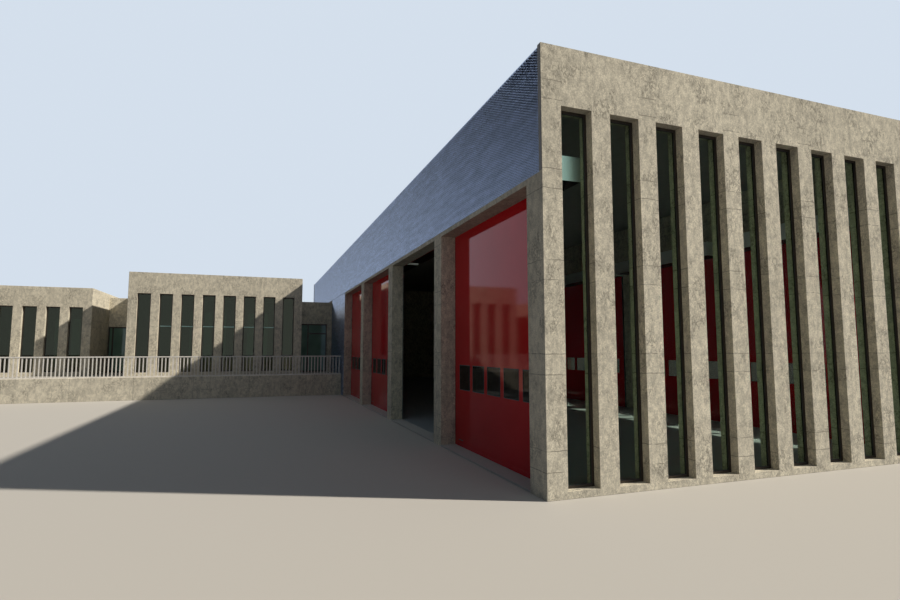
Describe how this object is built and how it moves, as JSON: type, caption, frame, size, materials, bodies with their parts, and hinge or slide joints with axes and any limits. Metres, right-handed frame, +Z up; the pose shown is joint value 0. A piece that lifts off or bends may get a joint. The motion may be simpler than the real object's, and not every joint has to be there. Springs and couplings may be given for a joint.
{
  "type": "fire station building",
  "caption": "Concrete fire station: a hollow drive-in hall with roll-up doors, one open, a side of tall fins, and a low windowed wing on a railed terrace.",
  "frame": {"origin": "centre of the footprint at ground level", "axes": "+Z up; +X towards the finned side, along the door front; +Y from the door front towards the back of the hall"},
  "size_m": [38.74, 30.695, 8],
  "materials": {
    "concrete": "board-formed concrete, warm grey, mottled, with faint joints and tie holes",
    "window_frame": "dark bronze painted metal",
    "window_glass": "dark green tinted glass",
    "cladding": "blue-grey metal scales in fine rows",
    "roofing": "grey gravel on the roofing sheet",
    "hall_floor": "smooth coated concrete, bluish grey",
    "door_sheet": "glossy red",
    "door_pane": "clear pane, dark from outside",
    "door_casing": "white painted sheet metal",
    "door_guide": "dark painted metal channel",
    "railing": "white painted steel",
    "wing_floor": "plain concrete slab"
  },
  "bodies": {
    "root": {"fin_wall": "concrete", "fin_frames": "window_frame", "fin_glass": "window_glass", "corner_column": "concrete", "bay_columns": "concrete", "door_head_wall": "concrete", "front_wall": "concrete", "cladding_upper": "cladding", "cladding_lower": "cladding", "back_wall": "concrete", "back_cladding": "cladding", "end_wall": "concrete", "hall_roof": "roofing", "hall_floor": "hall_floor", "door_1": "door_sheet", "door_2_rolled": "door_sheet", "door_3": "door_sheet", "door_4": "door_sheet", "back_doors": "door_sheet", "door_panes": "door_pane", "door_casings": "door_casing", "door_guides": "door_guide", "terrace_wall": "concrete", "terrace_railing": "railing", "terrace_floor": "wing_floor", "office_front_wall": "concrete", "office_side_walls": "concrete", "office_back_wall": "concrete", "office_roof": "roofing", "office_frames": "window_frame", "office_glass": "window_glass", "annex_front_wall": "concrete", "annex_side_walls": "concrete", "annex_back_wall": "concrete", "annex_roof": "roofing", "annex_frames": "window_frame", "annex_glass": "window_glass", "back_frames": "window_frame", "back_glass": "window_glass", "link_front_walls": "concrete", "link_screens": "window_frame", "link_glass": "window_glass", "link_roofs": "roofing", "link_back_walls": "concrete", "wing_floors": "wing_floor"}
  },
  "joints": []
}
